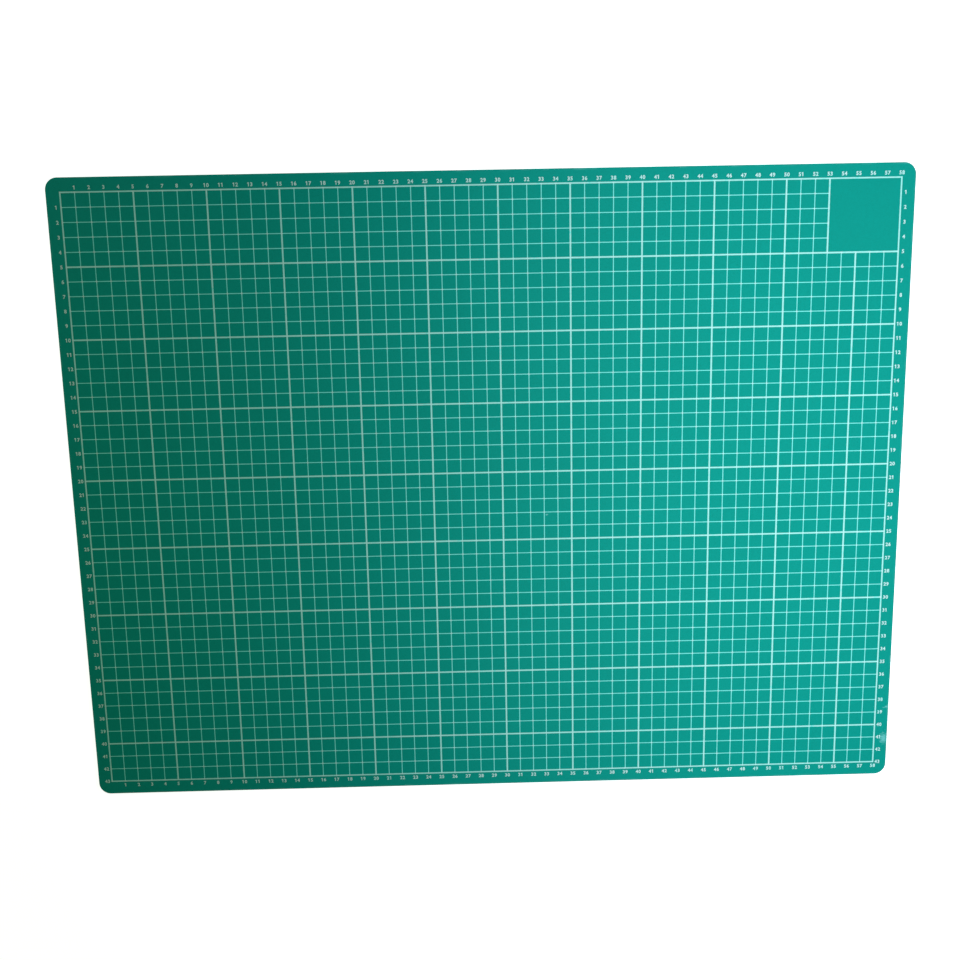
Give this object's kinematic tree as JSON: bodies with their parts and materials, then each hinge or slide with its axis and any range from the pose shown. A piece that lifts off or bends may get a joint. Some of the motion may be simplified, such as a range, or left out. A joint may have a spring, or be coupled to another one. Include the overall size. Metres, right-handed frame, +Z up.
{
  "type": "cutting mat",
  "caption": "Flat laminated self-healing cutting mat with rounded corners and a printed centimetre grid, for rotary cutters and knives on a table.",
  "frame": {"origin": "middle of the underside", "axes": "+X along the long side, from the first printed column to the last; +Y towards the edge where the printed rows start; +Z up, out of the work face"},
  "size_m": [0.6, 0.45, 0.0031],
  "materials": {
    "face_vinyl": "satin",
    "cushion_vinyl": "satin",
    "core_vinyl": "matte",
    "white_ink": "matte"
  },
  "bodies": {
    "root": {"work_sheet": "face_vinyl", "upper_cushion_sheet": "cushion_vinyl", "core_sheet": "core_vinyl", "lower_cushion_sheet": "cushion_vinyl", "back_sheet": "face_vinyl", "upright_line_print": "white_ink", "cross_line_print": "white_ink"}
  },
  "joints": []
}
